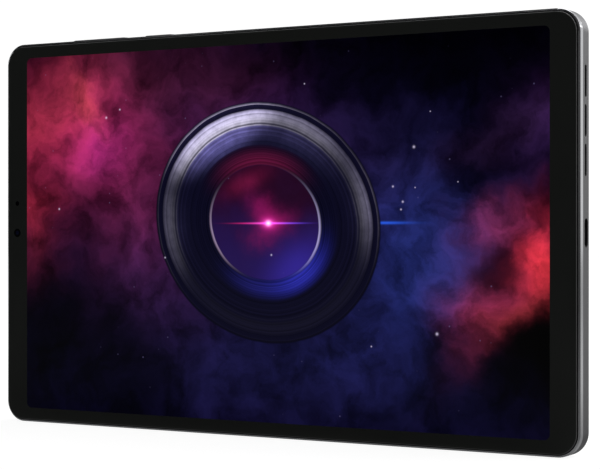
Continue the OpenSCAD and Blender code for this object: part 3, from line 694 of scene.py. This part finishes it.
# ---- camera island ----
# A raised capsule of black anodised aluminium with a cut bevel round its edge, and two stepped
# seats: a large one for the camera's glass and a small one for the flash's lens.
ISLAND_BEVEL = 0.35
island = strip("camera_island_plate", island_low,
               (island_high.x, island_high.y - ISLAND_BEVEL * MM, island_high.z), 1)
face_towards(1, 1)
terrace([(ISLAND_BEVEL, ISLAND_BEVEL), (1.0, 0)])
window_low, window_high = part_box("camera_window")
lens_place = (window_low + window_high) / 2
flash_low, flash_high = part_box("flash_window")
flash_place = (flash_low + flash_high) / 2
seats = []
for place, through, seat, depth in ((lens_place, 3.9, 5.0, 0.65), (flash_place, 1.9, 2.5, 0.55)):
    bar = 6 * MM
    seats.append(rod("through", (place.x, island_low.y, place.z), through * MM, bar, 1, 96))
    seats.append(rod("seat", (place.x, island_high.y - depth * MM + bar / 2, place.z), seat * MM,
                     bar, 1, 96))
cut(island, *seats)
ease_edges(island, 0.09)
black_metal = Finish("black_anodised")
shot = black_metal.noise(0.08, 3, 0.6)
haze = black_metal.noise(6, 4, 0.5)
facet = black_metal.node("NewGeometry", {}, {}, "Normal")
cut_edge = black_metal.ease(black_metal.calc("ABSOLUTE", black_metal.axes(facet)[1]), 0.9, 0.75)
cut_edge = cut_edge * (black_metal.axes(black_metal.place)[1] > panel_high.y + 0.7 * MM)
black_metal.set(
    Base_Color=black_metal.mix(black_metal.mix(paint(42, 42, 44), paint(50, 50, 53), haze),
                               paint(150, 150, 154), cut_edge),
    Metallic=1.0, Roughness=0.34 + shot * 0.1 - cut_edge * 0.2)
black_metal.bump(shot, 0.005, 0.5)
finished(island, black_metal, "housing", 180)
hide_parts("camera_island")


# ---- camera glass ----
# A disc of hard glass, printed black from behind outside its clear middle, through which the
# stepped barrel and the coated front element of the camera show as dark rings.
def lens_disc(name, place, radius, low_y, high_y, crown):
    """A round glass whose outer edge is softly rounded and whose face is crowned a little."""
    disc = rod(name, (place.x, (low_y + high_y - crown) / 2, place.z), radius,
               high_y - crown - low_y, 1, 96)
    face_towards(1, 1)
    terrace([(0.08, crown / MM * 0.5), (0.14, crown / MM * 0.35), (0.6, crown / MM * 0.15)])
    return disc


camera_glass = lens_disc("camera_glass", lens_place, (window_high.x - window_low.x) / 2,
                         window_low.y, window_high.y, 0.12 * MM)
face_towards(1, 1)
terrace([(0.4, 0), (0.4, 0)])
coated = Finish("coated_lens_glass")
from_axis = coated.vector("SUBTRACT", coated.place, (lens_place.x, 0, lens_place.z))
from_axis = coated.vector("MULTIPLY", from_axis, (1 / MM, 0, 1 / MM))
ring = coated.vector("LENGTH", from_axis, output="Value") / 5
barrel = coated.node("ValToRGB", {"stops": [
    (0.0, paint(16, 12, 40)), (0.14, paint(30, 18, 70)), (0.2, paint(12, 16, 44)),
    (0.27, paint(3, 3, 6)), (0.31, paint(26, 28, 32)), (0.36, paint(4, 4, 6)),
    (0.42, paint(20, 20, 24)), (0.45, paint(3, 3, 5)), (0.62, paint(8, 8, 10)),
    (0.64, paint(28, 28, 32)), (0.66, paint(2, 2, 3))]}, {0: ring})
smear = coated.noise(2.5, 4, 0.6)
coated.set(Base_Color=coated.mix(barrel, paint(20, 22, 30), coated.ease(smear, 0.6, 0.9) * 0.3),
           Roughness=0.03 + smear * 0.03, Coat_Weight=0.4, IOR=1.5)
coated.bump(smear, 0.001, 0.2)
finished(camera_glass, coated, "housing", 30)
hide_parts("camera_window")

flash_lens = lens_disc("flash_lens", flash_place, (flash_high.x - flash_low.x) / 2, flash_low.y,
                       flash_high.y, 0.1 * MM)
face_towards(1, 1)
terrace([(0.12, 0), (0.1, -0.06), (0.12, 0), (0.1, 0.06), (0.15, 0), (0.1, -0.06), (0.15, 0),
         (0.1, 0.06), (0.15, 0)])
milky = Finish("flash_plastic")
swirl = milky.noise(0.8, 4, 0.6)
milky.set(Base_Color=milky.mix(paint(226, 214, 160), paint(240, 234, 206), swirl),
          Roughness=0.16 + swirl * 0.1, Coat_Weight=0.5, Subsurface_Weight=0.15)
milky.bump(swirl, 0.004, 0.3)
finished(flash_lens, milky, "housing", 30)
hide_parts("flash_window")


# ---- side keys ----
# Two bars of anodised aluminium in the upper edge, volume and power. Each stands a little proud
# with a dished top, and is held in by a longer flange behind the wall, with nubs for the domes.
def side_key(name, node, nubs):
    low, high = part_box(node)
    top_round = 0.35
    bar = strip(name, (low.x + KEY_FLANGE * MM, low.y, low.z + 0.4 * MM),
                (high.x - KEY_FLANGE * MM, high.y, high.z - top_round * MM), 2)
    face_towards(2, 1)
    terrace(round_over(top_round))
    terrace([(0.25, -0.015), (0.35, -0.015)])
    foot = low.z + (0.35 * MM if nubs else 0)
    parts = [rounded_block("flange", (low.x, low.y, foot), (high.x, high.y, foot + 0.55 * MM), 2,
                           0.3 * MM, 4)]
    for dx in nubs:
        x = (low.x + high.x) / 2 + dx * MM
        parts.append(rounded_block(
            "nub", (x - 0.7 * MM, 0.3 * MM, low.z), (x + 0.7 * MM, 1.7 * MM, foot + 0.1 * MM),
            2, 0.15 * MM, 3))
    add(bar, *parts)
    # Painted highlight: the keys take the frame's finish made lighter, for the light caught on
    # their rounded tops.
    finished(bar, blasted(name + "_finish", highlight_lift=44), node, 32)
    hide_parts(node)


side_key("volume_button", "volume_key", (-7.5, 7.5))
side_key("power_button", "power_key", (0,))


# ---- card tray ----
# A thin milled aluminium tray for a memory card, whose head fills its seat in the left edge and
# has a small hole for the eject pin.
tray_low, tray_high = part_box("card_tray")
tray_head = strip("tray_head", (tray_low.x, tray_low.y, tray_low.z),
                  (tray_low.x + HEAD_T * MM, tray_high.y, tray_high.z), 0)
ease_edges(tray_head, 0.1, weighted=False)
tray_plate = rounded_block(
    "tray_plate", (tray_low.x + HEAD_T / 2 * MM, (KEY_Y - 0.6) * MM, (TRAY_Z - 6) * MM),
    (tray_high.x, (KEY_Y + 0.6) * MM, (TRAY_Z + 6) * MM), 1, 0.5 * MM, 6)
add(tray_head, tray_plate)
card_space = rounded_block("card_space", (-101 * MM, (KEY_Y - 0.35) * MM, (TRAY_Z - 5) * MM),
                           (-86.7 * MM, (KEY_Y + 1) * MM, (TRAY_Z + 5) * MM), 1, 0.6 * MM, 6)
pinhole = rod("pinhole", (tray_low.x + HEAD_T / 2 * MM, KEY_Y * MM, PINHOLE_Z * MM), 0.6 * MM,
              3 * MM, 0, 32)
cut(tray_head, card_space, pinhole)
finished(tray_head, blasted("tray_finish"), "card_tray", 32)
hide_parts("card_tray")


# ---- port tongue ----
# The black moulded tongue in the middle of the port, with a row of gold contacts on each side
# and a steel plate through its core that shows at both edges.
tongue_low, tongue_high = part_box("usb_tongue")
tongue = strip("port_tongue", tongue_low,
               (tongue_low.x + 1.7 * MM, tongue_high.y, tongue_high.z), 0)
BLADE_HALF_T, BLADE_HALF_W = 0.35 * MM, 3.35 * MM
blade = rounded_block(
    "blade", (tongue_low.x + 1.0 * MM, PORT_Y * MM - BLADE_HALF_T, middle_z - BLADE_HALF_W),
    (tongue_high.x, PORT_Y * MM + BLADE_HALF_T, middle_z + BLADE_HALF_W), 1, 0.3 * MM, 5)
ease_edges(blade, 0.08, weighted=False)
add(tongue, blade)
moulded = Finish("glass_filled_plastic")
flow = moulded.noise(0.5, 4, 0.6)
fleck = moulded.noise(0.06, 2, 0.5)
from_middle = moulded.calc("ABSOLUTE", moulded.axes(moulded.place)[2] - middle_z)
core = from_middle > 3.2 * MM
moulded.set(Base_Color=moulded.mix(moulded.mix(paint(20, 20, 21), paint(30, 30, 31), flow),
                                   paint(150, 150, 152), core),
            Metallic=core * 0.9, Roughness=0.42 + fleck * 0.2)
moulded.bump(fleck, 0.003, 0.4)
finished(tongue, moulded, "housing", 32)
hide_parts("usb_tongue")

pads = []
for side in (-1, 1):
    for i in range(12):
        z = middle_z + (i - 5.5) * 0.5 * MM
        y = (PORT_Y + side * 0.355) * MM
        pads.append(rounded_block(
            "contact", (tongue_high.x - 3.2 * MM, y - 0.02 * MM, z - 0.14 * MM),
            (tongue_high.x - 0.35 * MM, y + 0.02 * MM, z + 0.14 * MM), 1, 0.06 * MM, 3))
deselected()
contacts = pads[0]
for pad in pads:
    pad.select_set(True)
bpy.context.view_layer.objects.active = contacts
bpy.ops.object.join()
contacts.name = "port_contacts"
gold = Finish("gold_plate")
plate = gold.noise(0.3, 4, 0.6)
gold.set(Base_Color=gold.mix(paint(212, 168, 92), paint(228, 190, 116), plate), Metallic=1.0,
         Roughness=0.22 + plate * 0.12)
gold.bump(plate, 0.001, 0.3)
finished(contacts, gold, "housing", 32)


# ---- speaker mesh ----
# Fine wire, blackened and woven into a cloth that is glued behind the sound slots on each side,
# where it keeps dust out of the speakers. Its wires are drawn by two crossed waves.
cloth = Finish("black_wire_cloth")
cloth_place = cloth.vector("MULTIPLY", cloth.place, (0, 1 / MM, 1 / MM))
WEAVE = 20
weft, warp = (cloth.calc("ABSOLUTE", cloth.calc("SINE", way * WEAVE))
              for way in cloth.axes(cloth_place)[1:])
wire = weft * warp
tarnish = cloth.noise(2, 3, 0.5)
strands = cloth.mix(paint(34, 34, 36), paint(44, 43, 42), tarnish)
cloth.set(Base_Color=cloth.mix(paint(6, 6, 7), strands, cloth.ease(wire, 0.7, 0.4)),
          Metallic=0.6, Roughness=0.5 + wire * 0.2)
cloth.bump(1 - wire, 0.05, 0.7)


def coat(finish, *nodes):
    """Gives a finish to CAD parts that are shown as they are."""
    for name in nodes:
        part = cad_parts[name]
        part.data.materials.clear()
        part.data.materials.append(finish.material)


coat(cloth, "speaker_meshes")


# ---- metal parts inside ----
# Stamped and drawn sheet: steel for the screen's tray, shields, brackets and port shell, copper
# for the vapour chamber, tungsten for the weight, each with its rolling lines and light stains.
def sheet_metal(name, dark, light, rough, line_mm=0.25, stretch=(1, 1, 24)):
    metal = Finish(name)
    drawn = metal.node("Mapping", {}, {"Vector": metal.place, "Scale": stretch})
    lines = metal.noise(line_mm * 6, 4, 0.65, drawn)
    stain = metal.noise(7, 5, 0.6)
    tint = metal.mix(paint(*dark), paint(*light), lines)
    tint = metal.mix(tint, paint(*[c * 0.8 for c in dark]), metal.ease(stain, 0.55, 0.8) * 0.5)
    metal.set(Base_Color=tint, Metallic=1.0, Roughness=rough + lines * 0.12 + stain * 0.06)
    metal.bump(lines, 0.004, 0.4)
    return metal


coat(sheet_metal("bright_steel", (150, 151, 154), (182, 183, 186), 0.26), "backlight_tray",
     "shield_cans", "usb_shell", "haptic_case", "card_reader")
coat(sheet_metal("spring_steel", (158, 156, 152), (190, 188, 184), 0.2, 0.12), "power_dome",
     "volume_domes", "lever_pin", "eject_rod", "eject_lever", "key_bracket")
coat(sheet_metal("drawn_copper", (176, 104, 72), (206, 134, 98), 0.28, 0.3, (24, 1, 1)),
     "vapour_chamber")
coat(sheet_metal("pressed_tungsten", (104, 104, 106), (128, 128, 130), 0.45, 0.08, (1, 1, 1)),
     "haptic_mass")
coat(sheet_metal("black_screw_steel", (60, 60, 63), (84, 84, 87), 0.36, 0.08, (1, 8, 1)),
     "board_screws")


# ---- moulded, foamed and woven parts inside ----
# Black engineering plastic for boxes, lens barrels and carriers, and soft foams, adhesive tapes
# and pads, each mottled at its own scale.
def soft_finish(name, dark, light, rough, grain_mm, depth_mm, cells=False):
    stuff = Finish(name)
    mottle = stuff.noise(grain_mm * 14, 4, 0.55)
    grain_here = stuff.noise(grain_mm, 3, 0.6)
    height = grain_here
    if cells:
        bubbles = stuff.node("TexVoronoi", {}, {"Vector": stuff.place,
                                                "Scale": 1 / (grain_mm * MM)})
        height = stuff.ease(bubbles, 0.1, 0.6) * 0.8 + grain_here * 0.2
    stuff.set(Base_Color=stuff.mix(paint(*dark), paint(*light), mottle * 0.6 + height * 0.4),
              Roughness=rough + height * 0.14)
    stuff.bump(height, depth_mm, 0.5)
    return stuff


coat(soft_finish("black_moulding", (20, 20, 22), (34, 34, 36), 0.42, 0.12, 0.008),
     "speaker_boxes", "camera_body", "front_camera", "antenna_carriers", "microphones",
     "board_connectors")
coat(soft_finish("speaker_driver_moulding", (30, 30, 32), (52, 50, 50), 0.5, 0.2, 0.01),
     "speaker_drivers", "antenna_cable")
coat(soft_finish("closed_cell_foam", (28, 28, 29), (46, 46, 47), 0.85, 0.25, 0.05, True),
     "display_foam")
coat(soft_finish("black_tape", (14, 14, 15), (24, 24, 25), 0.6, 0.3, 0.01), "glass_adhesive",
     "rear_adhesive", "bezel_print")
coat(soft_finish("white_tape", (196, 196, 192), (216, 216, 212), 0.65, 0.3, 0.01), "battery_tape")
coat(soft_finish("thermal_putty", (128, 150, 170), (150, 170, 188), 0.7, 0.18, 0.02, True),
     "thermal_pad")
coat(soft_finish("graphite_foil", (44, 44, 47), (66, 66, 70), 0.38, 0.5, 0.01),
     "graphite_sheet")
coat(soft_finish("battery_pouch", (60, 60, 64), (82, 82, 88), 0.33, 0.7, 0.03),
     "battery_cells")
coat(soft_finish("speaker_film", (86, 74, 52), (108, 94, 66), 0.4, 0.2, 0.01),
     "left_diaphragm", "right_diaphragm")
coat(soft_finish("clear_resin", (200, 202, 206), (214, 216, 220), 0.12, 0.6, 0.002),
     "optical_adhesive", "light_guide")
coat(soft_finish("panel_glass", (16, 14, 24), (26, 22, 36), 0.1, 0.4, 0.001), "lcd_cell")
coat(soft_finish("sensor_glass", (40, 14, 44), (58, 22, 60), 0.15, 0.3, 0.002),
     "light_sensor")


# ---- lens barrel ----
# The focusing barrel behind the camera's glass, moulded in black plastic with fine ribs that stop
# stray light, round a coated lens.
ribbed = Finish("ribbed_barrel")
off_axis = ribbed.vector("SUBTRACT", ribbed.place, (lens_place.x, 0, lens_place.z))
off_axis = ribbed.vector("MULTIPLY", off_axis, (1 / MM, 0, 1 / MM))
reach = ribbed.vector("LENGTH", off_axis, output="Value")
ribs = ribbed.calc("SINE", reach * 26)
bloom = ribbed.noise(1, 3, 0.5)
element = ribbed.ease(reach, 2.0, 1.8)
black_ribs = ribbed.mix(paint(14, 14, 15), paint(26, 26, 28), bloom)
coated_lens = ribbed.mix(paint(24, 14, 58), paint(14, 30, 54), bloom)
ribbed.set(Base_Color=ribbed.mix(black_ribs, coated_lens, element),
           Roughness=0.5 - element * 0.42 + bloom * 0.08, Coat_Weight=element)
ribbed.bump(ribs * (1 - element), 0.03, 0.5)
coat(ribbed, "camera_lens")


# ---- circuit boards and flexible circuits ----
# Glass-fibre boards under dark green resist with copper tracks showing through it, their chips,
# the polyimide flexes, the lamps of the backlight, and the gold foils of the antennas.
def circuit(name, resist, track, weave_mm, rough):
    laminate = Finish(name)
    turned = laminate.node("Mapping", {}, {"Vector": laminate.place,
                                           "Rotation": (math.radians(90), 0, 0)})
    grid = laminate.node("TexBrick", {"offset": 0.5}, {
        "Vector": laminate.vector("MULTIPLY", turned, (1, 1, 0)),
        "Scale": 1 / (weave_mm * MM), "Mortar Size": 0.08, "Color1": (0, 0, 0, 1),
        "Color2": (0.2, 0.2, 0.2, 1), "Mortar": (1, 1, 1, 1)})
    tracks = laminate.axes(grid)[0]
    cloud = laminate.noise(4, 4, 0.6)
    fibre = laminate.noise(0.15, 3, 0.6)
    ground = laminate.mix(paint(*resist), paint(*[c * 1.25 for c in resist]), cloud)
    shown_tracks = tracks * laminate.ease(cloud, 0.4, 0.6)
    laminate.set(Base_Color=laminate.mix(ground, paint(*track), shown_tracks),
                 Roughness=rough + fibre * 0.15)
    laminate.bump(tracks + fibre * 0.2, 0.02, 0.5)
    return laminate


coat(circuit("board_laminate", (14, 52, 36), (44, 96, 62), 1.6, 0.34), "mainboard", "usb_board",
     "battery_board")
coat(circuit("chip_package", (26, 26, 28), (44, 44, 46), 2.4, 0.4), "mainboard_chips")
coat(circuit("polyimide_flex", (168, 96, 26), (196, 132, 56), 0.8, 0.3), "display_flex",
     "main_flex", "key_flex")
coat(circuit("lamp_strip", (226, 222, 200), (232, 200, 110), 2.0, 0.4), "led_strip", "flash_led")
coat(circuit("antenna_gold", (196, 152, 78), (222, 184, 108), 1.2, 0.26), "antenna_foils")
